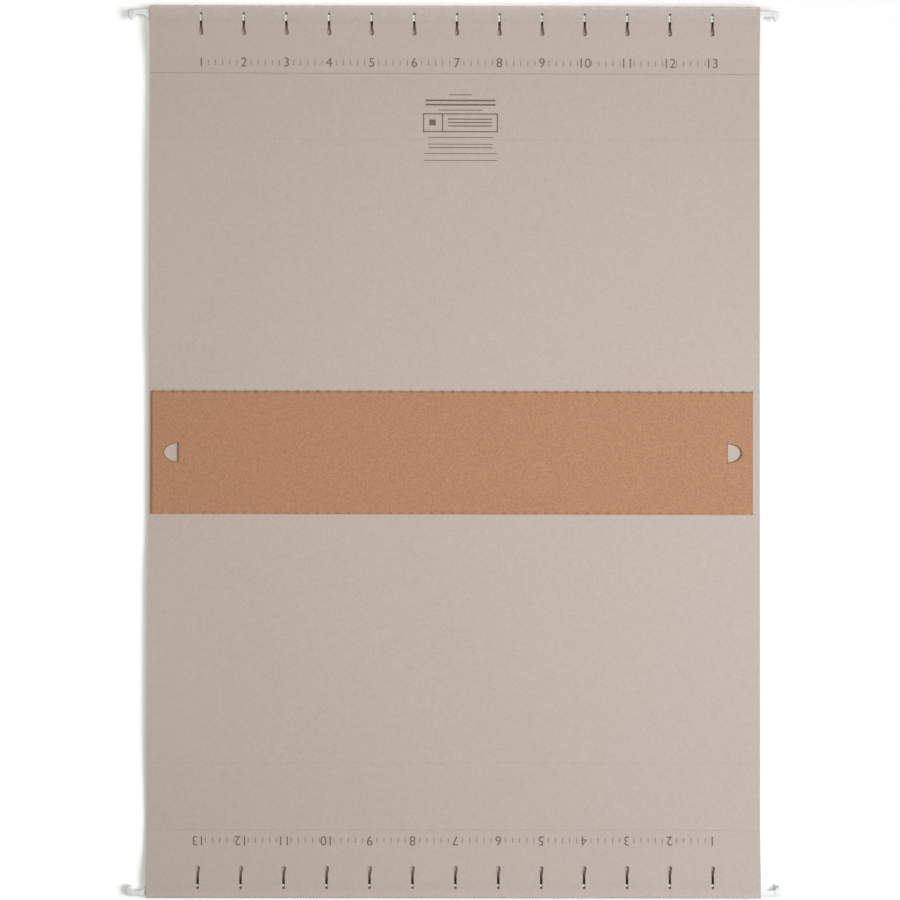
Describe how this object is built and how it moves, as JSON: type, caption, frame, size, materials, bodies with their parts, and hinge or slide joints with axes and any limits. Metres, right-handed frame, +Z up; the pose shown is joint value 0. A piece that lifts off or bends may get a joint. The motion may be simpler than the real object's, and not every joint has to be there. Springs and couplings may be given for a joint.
{
  "type": "hanging file folder",
  "caption": "Box-bottom hanging file folder opened out flat: hinged card panels with hems holding hooked rods, keyhole tab slots, and a loose kraft board on the bottom.",
  "frame": {"origin": "middle of the underside, on the surface that the opened folder lies on", "axes": "+X along the rods, +Y from the front panel to the back panel, +Z up, out of the folder's inside"},
  "size_m": [0.4012, 0.546, 0.0035],
  "materials": {
    "card": "matt, warm grey, fine fibres",
    "kraft": "matt brown kraft",
    "rod": "satin white",
    "glue": "dried white glue"
  },
  "bodies": {
    "bottom": {"bottom_panel": "card"},
    "back_side": {"back_panel": "card", "back_hem": "card", "back_hem_glue": "glue"},
    "front_side": {"front_panel": "card", "front_hem": "card", "front_hem_glue": "glue"},
    "back_rod": {"back_rod": "rod"},
    "front_rod": {"front_rod": "rod"},
    "board": {"bottom_board": "kraft"}
  },
  "joints": [
    {"name": "back_fold", "type": "hinge", "parent": "bottom", "child": "back_side", "pos_m": [0, 0.0366, 0.0002], "axis": [1, 0, 0], "range_deg": [0, 97.5]},
    {"name": "front_fold", "type": "hinge", "parent": "bottom", "child": "front_side", "pos_m": [0, -0.0396, 0.0002], "axis": [-1, 0, 0], "range_deg": [0, 97.5]},
    {"name": "back_rod_slide", "type": "slide", "parent": "back_side", "child": "back_rod", "axis": [1, 0, 0], "range_m": [-0.0024, 0.0036]},
    {"name": "front_rod_slide", "type": "slide", "parent": "front_side", "child": "front_rod", "axis": [1, 0, 0], "range_m": [-0.0036, 0.0024]},
    {"name": "board_slide", "type": "slide", "parent": "bottom", "child": "board", "axis": [1, 0, 0], "range_m": [-0.375, 0.375]}
  ]
}
